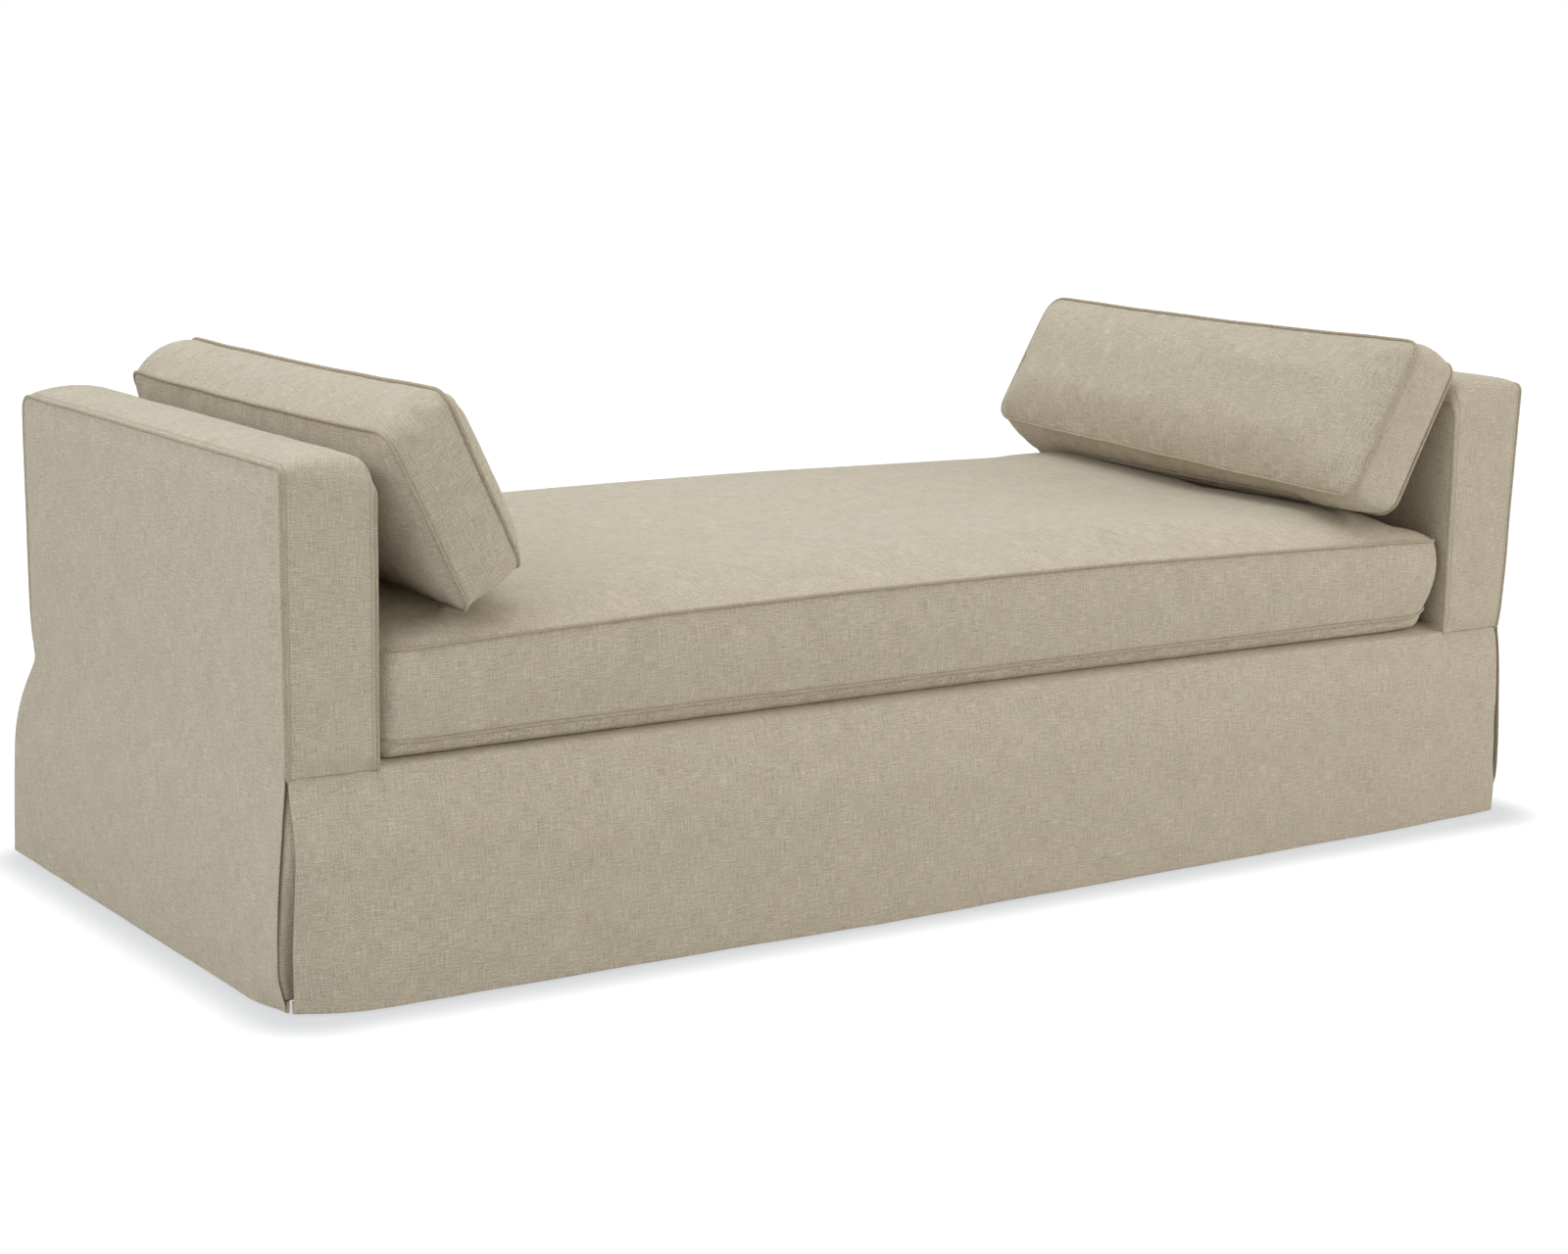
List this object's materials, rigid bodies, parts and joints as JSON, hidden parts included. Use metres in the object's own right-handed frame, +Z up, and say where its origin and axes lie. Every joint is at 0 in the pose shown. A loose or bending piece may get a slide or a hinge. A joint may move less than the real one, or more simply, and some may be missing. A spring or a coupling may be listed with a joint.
{
  "type": "backless divan",
  "caption": "Long skirted bench seat with square arms, one boxed seat cushion and loose boxed bolsters leaning on the arms.",
  "frame": {"origin": "on the floor under the middle of the divan", "axes": "+X along its length to the right as one faces it, -Y to the front, +Z up"},
  "size_m": [2.164, 0.974, 0.7808],
  "materials": {
    "frame_timber": "sawn, unfinished",
    "leg_wood": "stained, satin",
    "fibreboard": "pressed fibre",
    "steel": "bright drawn wire",
    "zip_metal": "antique",
    "glide_plastic": "nylon",
    "zip_tape": "woven tape with nylon coil",
    "lining": "non-woven",
    "foam": "open-cell foam",
    "wadding": "polyester fibre",
    "piping": "self-covered cord in the cover cloth",
    "linen": "plain-weave linen with slubs"
  },
  "bodies": {
    "base": {"front_rail": "frame_timber", "back_rail": "frame_timber", "end_rails": "frame_timber", "cross_rails": "frame_timber", "corner_blocks": "frame_timber", "left_arm_posts": "frame_timber", "right_arm_posts": "frame_timber", "left_arm_top_rail": "frame_timber", "right_arm_top_rail": "frame_timber", "arm_inner_rails": "frame_timber", "left_arm_boards": "fibreboard", "right_arm_boards": "fibreboard", "rail_dowels": "frame_timber", "arm_screws": "steel", "corner_legs": "leg_wood", "centre_legs": "leg_wood", "leg_bolts": "steel", "glides": "glide_plastic", "sinuous_springs": "steel", "spring_clips": "steel", "spring_ties": "steel", "insulator_sheet": "lining", "deck_pad": "foam", "edge_rolls": "wadding", "deck_cover": "linen", "left_arm_padding": "wadding", "right_arm_padding": "wadding", "left_arm_band": "linen", "right_arm_band": "linen", "left_end_panel": "linen", "right_end_panel": "linen", "left_inside_panel": "linen", "right_inside_panel": "linen", "left_outer_welt": "piping", "left_inner_welt": "piping", "right_outer_welt": "piping", "right_inner_welt": "piping", "front_skirt": "linen", "back_skirt": "linen", "pleat_underlays": "linen", "dust_cover": "lining"},
    "seat_cushion": {"seat_cover": "linen", "seat_top_welt": "piping", "seat_bottom_welt": "piping", "seat_foam_core": "foam", "seat_fibre_layers": "wadding", "seat_zip": "zip_tape"},
    "left_bolster": {"left_bolster_cover": "linen", "left_bolster_welts": "piping", "left_bolster_fill": "wadding", "left_bolster_zip": "zip_tape"},
    "right_bolster": {"right_bolster_cover": "linen", "right_bolster_welts": "piping", "right_bolster_fill": "wadding", "right_bolster_zip": "zip_tape"},
    "seat_zip_pull": {"seat_zip_slider": "zip_metal"},
    "left_bolster_zip_pull": {"left_bolster_zip_slider": "zip_metal"},
    "right_bolster_zip_pull": {"right_bolster_zip_slider": "zip_metal"}
  },
  "joints": [
    {"name": "seat_cushion_lift", "type": "slide", "parent": "base", "child": "seat_cushion", "axis": [0, 0, 1], "range_m": [0, 0.42]},
    {"name": "left_bolster_lift", "type": "slide", "parent": "seat_cushion", "child": "left_bolster", "axis": [0, 0, 1], "range_m": [0, 0.3]},
    {"name": "right_bolster_lift", "type": "slide", "parent": "seat_cushion", "child": "right_bolster", "axis": [0, 0, 1], "range_m": [0, 0.3]},
    {"name": "seat_zip_slide", "type": "slide", "parent": "seat_cushion", "child": "seat_zip_pull", "axis": [1, 0, 0], "range_m": [0, 1.28]},
    {"name": "left_bolster_zip_slide", "type": "slide", "parent": "left_bolster", "child": "left_bolster_zip_pull", "axis": [0, -1, 0], "range_m": [0, 0.57]},
    {"name": "right_bolster_zip_slide", "type": "slide", "parent": "right_bolster", "child": "right_bolster_zip_pull", "axis": [0, -1, 0], "range_m": [0, 0.57]}
  ]
}
